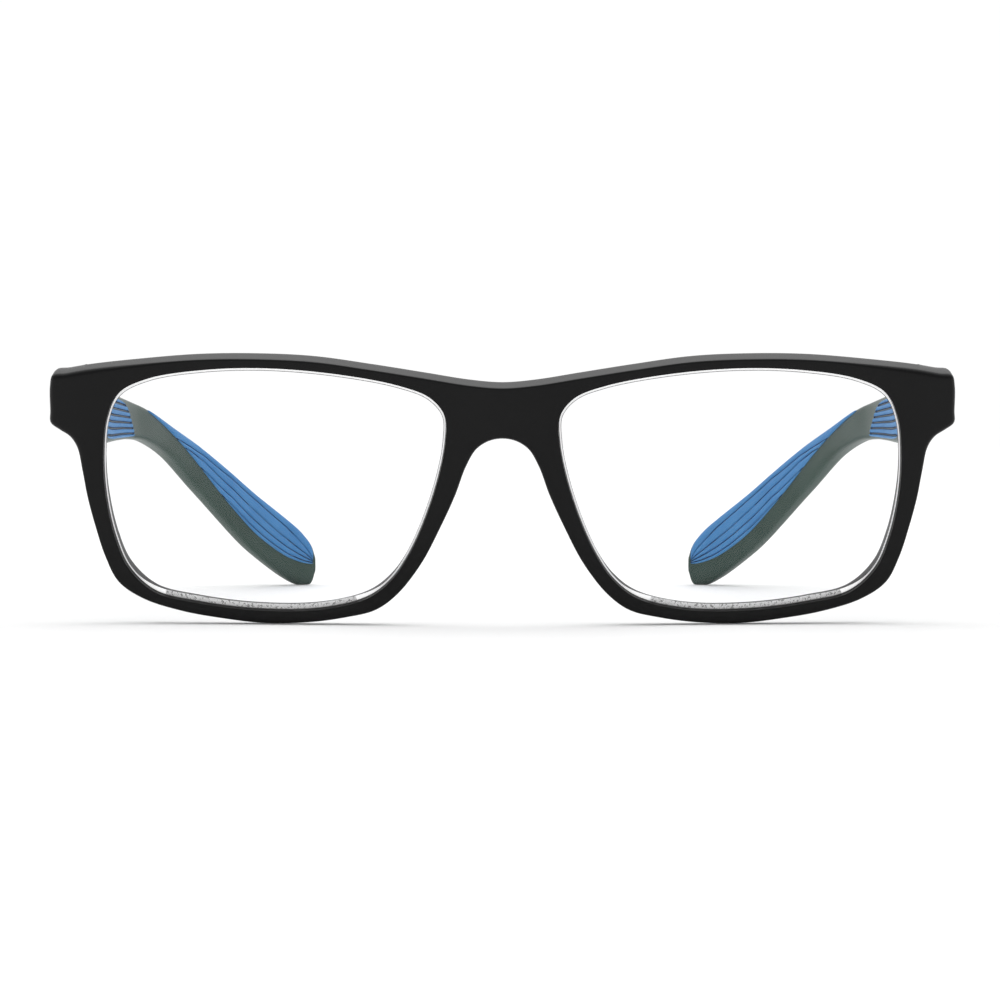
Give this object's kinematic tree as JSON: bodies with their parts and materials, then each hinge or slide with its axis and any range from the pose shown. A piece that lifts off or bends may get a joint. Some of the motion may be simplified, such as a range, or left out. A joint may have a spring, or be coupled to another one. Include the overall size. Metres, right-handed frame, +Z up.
{
  "type": "blue light glasses",
  "caption": "Full-rim rectangular glasses with clear lenses, spring-hinged folding temples and soft ribbed grip pads on the temples' inner faces.",
  "frame": {"origin": "middle of the footprint, on the surface that the open glasses stand on", "axes": "+X to the wearer's left, -Y the way the wearer looks, +Z up; the temples are open at rest"},
  "size_m": [0.1448, 0.1452, 0.0421],
  "materials": {
    "front": "matt black injection-moulded plastic",
    "lens": "clear polished lens with a faint coating",
    "temple": "satin grey-green plastic",
    "pad": "soft-touch blue rubber, fine grain",
    "hinge_metal": "nickel-plated",
    "screw": "turned steel",
    "spring": "drawn spring wire",
    "housing": "brushed nickel silver"
  },
  "bodies": {
    "front": {"front_frame": "front", "right_lens": "lens", "left_lens": "lens", "right_front_hinge": "hinge_metal", "left_front_hinge": "hinge_metal", "right_hinge_screw": "screw", "left_hinge_screw": "screw"},
    "right_slider": {"right_hinge_slider": "hinge_metal", "right_spring_stop": "hinge_metal"},
    "right_temple": {"right_temple_arm": "temple", "right_inner_pad": "pad", "right_tip_pad": "pad", "right_spring_housing": "housing", "right_hinge_spring": "spring"},
    "left_slider": {"left_hinge_slider": "hinge_metal", "left_spring_stop": "hinge_metal"},
    "left_temple": {"left_temple_arm": "temple", "left_inner_pad": "pad", "left_tip_pad": "pad", "left_spring_housing": "housing", "left_hinge_spring": "spring"}
  },
  "joints": [
    {"name": "right_fold", "type": "hinge", "parent": "front", "child": "right_slider", "pos_m": [-0.0642, -0.05294, 0.0352], "axis": [0, 0, -1], "range_deg": [-5, 56]},
    {"name": "right_flex", "type": "slide", "parent": "right_slider", "child": "right_temple", "axis": [0, 1, 0], "range_m": [0, 0.001], "stiffness_N_per_m": 1500, "springref_m": -0.001, "deforming": ["right_hinge_spring"]},
    {"name": "left_fold", "type": "hinge", "parent": "front", "child": "left_slider", "pos_m": [0.0642, -0.05294, 0.0352], "axis": [0, 0, 1], "range_deg": [-5, 77]},
    {"name": "left_flex", "type": "slide", "parent": "left_slider", "child": "left_temple", "axis": [0, 1, 0], "range_m": [0, 0.001], "stiffness_N_per_m": 1500, "springref_m": -0.001, "deforming": ["left_hinge_spring"]}
  ]
}
